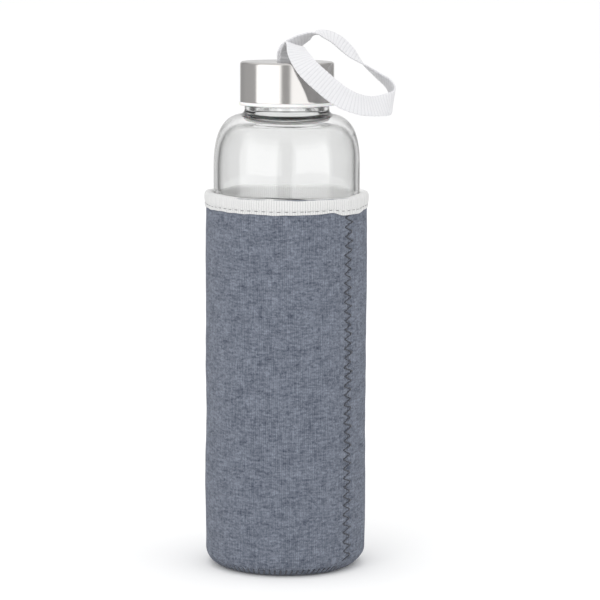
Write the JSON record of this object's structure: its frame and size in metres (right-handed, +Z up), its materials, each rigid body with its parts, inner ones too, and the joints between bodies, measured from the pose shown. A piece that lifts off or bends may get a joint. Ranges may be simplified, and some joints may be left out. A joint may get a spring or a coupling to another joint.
{
  "type": "glass water bottle",
  "caption": "Clear glass drinking bottle in a knit-faced neoprene sleeve with a bound top edge, a screw-on steel cap and a ribbon wrist strap.",
  "frame": {"origin": "centre of the sleeve's flat base, where the bottle stands", "axes": "+Z up along the axis of the bottle, -Y the front, +X the side that the strap lies to"},
  "size_m": [0.0823, 0.0714, 0.232],
  "materials": {
    "clear_glass": "clear, polished",
    "brushed_steel": "fine brushed, satin",
    "pin_steel": "drawn wire",
    "white_plastic": "moulded, satin",
    "silicone": "matt, translucent white",
    "white_ribbon": "ribbed grosgrain weave",
    "heather_knit": "fine jersey, heathered blue-grey",
    "foam_rubber": "matt closed-cell foam",
    "lining_knit": "fine jersey, dark grey",
    "binding_tape": "knitted elastic tape",
    "white_thread": "spun polyester",
    "dark_thread": "spun polyester"
  },
  "bodies": {
    "sleeve": {"sleeve_facing": "heather_knit", "sleeve_foam": "foam_rubber", "sleeve_lining": "lining_knit", "base_facing": "heather_knit", "base_foam": "foam_rubber", "base_lining": "lining_knit", "sleeve_binding": "binding_tape", "binding_stitches": "white_thread", "side_seam_thread": "dark_thread", "base_seam_thread": "dark_thread"},
    "bottle": {"glass_bottle": "clear_glass"},
    "seal": {"cap_seal": "silicone"},
    "cap": {"cap_shell": "brushed_steel", "cap_liner": "white_plastic", "strap_pin": "pin_steel", "strap_tail": "white_ribbon", "strap_bartack": "white_thread"},
    "strap": {"wrist_strap": "white_ribbon"}
  },
  "joints": [
    {"name": "bottle_lift", "type": "slide", "parent": "sleeve", "child": "bottle", "axis": [0, 0, 1], "range_m": [0, 0.17]},
    {"name": "cap_rise", "type": "slide", "parent": "bottle", "child": "seal", "axis": [0, 0, 1], "range_m": [0, 0.0201]},
    {"name": "cap_turn", "type": "hinge", "parent": "seal", "child": "cap", "pos_m": [0, 0, 0.21], "axis": [0, 0, 1], "range_deg": [0, 1800]},
    {"name": "strap_swing", "type": "hinge", "parent": "cap", "child": "strap", "pos_m": [0.0003, 0, 0.2196], "axis": [-0.848, -0.5299, 0], "range_deg": [0, 35]}
  ],
  "couplings": [
    {"joint": "cap_rise", "follows": "cap_turn", "m_per_rad": 0.00063662}
  ]
}
